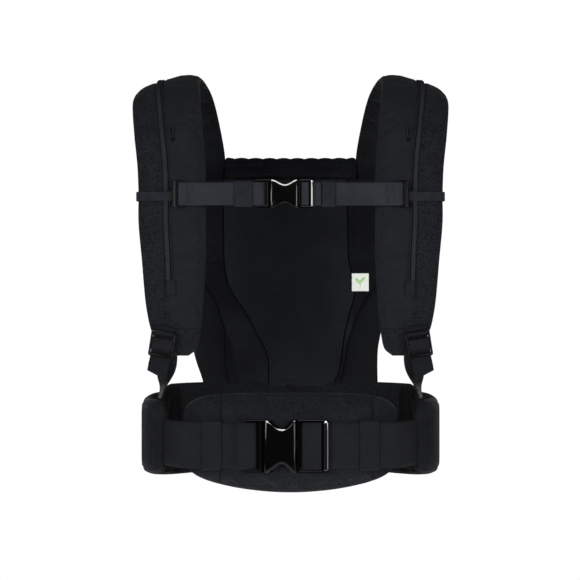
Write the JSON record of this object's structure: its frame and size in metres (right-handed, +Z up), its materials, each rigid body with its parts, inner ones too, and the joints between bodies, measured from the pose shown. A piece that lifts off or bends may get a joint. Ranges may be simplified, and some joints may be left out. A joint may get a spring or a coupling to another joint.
{
  "type": "soft baby carrier",
  "caption": "Structured soft baby carrier in worn shape: padded arched shoulder straps, body panel, wrap-round waistbelt with lumbar pad, sliding chest strap and side-release buckles.",
  "frame": {"origin": "centre of the waist opening, at the height of the middle of the waist webbing", "axes": "+X to the wearer's right, +Y to the wearer's front where the baby sits, +Z up along the wearer's back"},
  "size_m": [0.3566, 0.2908, 0.4667],
  "materials": {
    "knit_fabric": "textured knit",
    "strap_fabric": "smooth knit",
    "liner_fabric": "smooth soft knit",
    "webbing": "woven webbing",
    "elastic": "ribbed elastic",
    "foam": "open-cell foam",
    "buckle_plastic": "glossy moulded",
    "hardware_plastic": "satin moulded",
    "label": "woven satin label"
  },
  "bodies": {
    "carrier": {"belt_cover": "knit_fabric", "belt_foam": "foam", "belt_lining": "knit_fabric", "panel_shell": "knit_fabric", "panel_liner": "liner_fabric", "seat_side_left": "liner_fabric", "seat_side_right": "liner_fabric", "leg_pad_left": "knit_fabric", "leg_pad_right": "knit_fabric", "side_mesh_left": "knit_fabric", "side_mesh_right": "knit_fabric", "care_label": "label", "strap_cover_left": "strap_fabric", "strap_cover_right": "strap_fabric", "strap_foam_left": "foam", "strap_foam_right": "foam", "strap_lining_left": "knit_fabric", "strap_lining_right": "knit_fabric", "rail_left": "webbing", "rail_right": "webbing", "rail_loop_left": "elastic", "rail_loop_right": "elastic", "adjuster_tab_left": "webbing", "adjuster_tab_right": "webbing", "adjuster_webbing_left": "webbing", "adjuster_webbing_right": "webbing", "waist_webbing_left": "webbing", "waist_webbing_right": "webbing", "waist_buckle_female": "buckle_plastic"},
    "neck_support": {"neck_lining": "knit_fabric", "neck_foam": "foam", "neck_cover": "knit_fabric"},
    "lumbar_pad": {"lumbar_cover": "knit_fabric", "lumbar_foam": "foam", "lumbar_backing": "knit_fabric", "lumbar_keeper_left": "webbing", "lumbar_keeper_right": "webbing"},
    "waist_male": {"waist_buckle_male": "buckle_plastic", "waist_buckle_bar_loop": "webbing"},
    "waist_prong_upper": {"waist_buckle_prong_upper": "buckle_plastic"},
    "waist_prong_lower": {"waist_buckle_prong_lower": "buckle_plastic"},
    "chest_strap": {"strap_band_left": "elastic", "strap_band_right": "elastic", "chest_slider_left": "hardware_plastic", "chest_slider_right": "hardware_plastic", "chest_webbing_left": "webbing", "chest_webbing_right": "webbing", "chest_keeper_left": "elastic", "chest_buckle_female": "buckle_plastic"},
    "chest_male": {"chest_buckle_male": "buckle_plastic", "chest_buckle_bar_loop": "webbing", "chest_keeper_right": "elastic"},
    "chest_prong_upper": {"chest_buckle_prong_upper": "buckle_plastic"},
    "chest_prong_lower": {"chest_buckle_prong_lower": "buckle_plastic"},
    "adjuster_left": {"adjuster_left": "hardware_plastic", "adjuster_tail_left": "webbing"},
    "adjuster_right": {"adjuster_right": "hardware_plastic", "adjuster_tail_right": "webbing"}
  },
  "joints": [
    {"name": "chest_strap_height", "type": "slide", "parent": "carrier", "child": "chest_strap", "axis": [0, 0, 1], "range_m": [-0.018, 0.018]},
    {"name": "chest_buckle_release", "type": "slide", "parent": "chest_strap", "child": "chest_male", "axis": [1, 0, 0], "range_m": [0, 0.0225]},
    {"name": "chest_prong_upper_pinch", "type": "hinge", "parent": "chest_male", "child": "chest_prong_upper", "pos_m": [0.0072, -0.109, 0.2768], "axis": [0, -1, 0], "range_deg": [0, 8], "stiffness_Nm_per_rad": 0.05},
    {"name": "chest_prong_lower_pinch", "type": "hinge", "parent": "chest_male", "child": "chest_prong_lower", "pos_m": [0.0072, -0.109, 0.2612], "axis": [0, 1, 0], "range_deg": [0, 8], "stiffness_Nm_per_rad": 0.05},
    {"name": "waist_buckle_release", "type": "slide", "parent": "carrier", "child": "waist_male", "axis": [1, 0, 0], "range_m": [0, 0.024]},
    {"name": "waist_prong_upper_pinch", "type": "hinge", "parent": "waist_male", "child": "waist_prong_upper", "pos_m": [0.0052, -0.1432, 0.0137], "axis": [0, -1, 0], "range_deg": [0, 8], "stiffness_Nm_per_rad": 0.12},
    {"name": "waist_prong_lower_pinch", "type": "hinge", "parent": "waist_male", "child": "waist_prong_lower", "pos_m": [0.0052, -0.1432, -0.0137], "axis": [0, 1, 0], "range_deg": [0, 8], "stiffness_Nm_per_rad": 0.12},
    {"name": "adjuster_left_tilt", "type": "hinge", "parent": "carrier", "child": "adjuster_left", "pos_m": [-0.13698, -0.103, 0.11942], "axis": [-0.9877, 0, 0.1564], "range_deg": [0, 35]},
    {"name": "adjuster_right_tilt", "type": "hinge", "parent": "carrier", "child": "adjuster_right", "pos_m": [0.13698, -0.103, 0.11942], "axis": [-0.9877, 0, -0.1564], "range_deg": [0, 35]},
    {"name": "lumbar_pad_slide", "type": "slide", "parent": "carrier", "child": "lumbar_pad", "axis": [1, 0, 0], "range_m": [-0.0075, 0.0075]},
    {"name": "neck_support_fold", "type": "hinge", "parent": "carrier", "child": "neck_support", "pos_m": [0, 0.1257, 0.3003], "axis": [-1, 0, 0], "range_deg": [0, 120]}
  ],
  "couplings": [
    {"joint": "chest_prong_lower_pinch", "follows": "chest_prong_upper_pinch", "ratio": 1},
    {"joint": "waist_prong_lower_pinch", "follows": "waist_prong_upper_pinch", "ratio": 1}
  ]
}
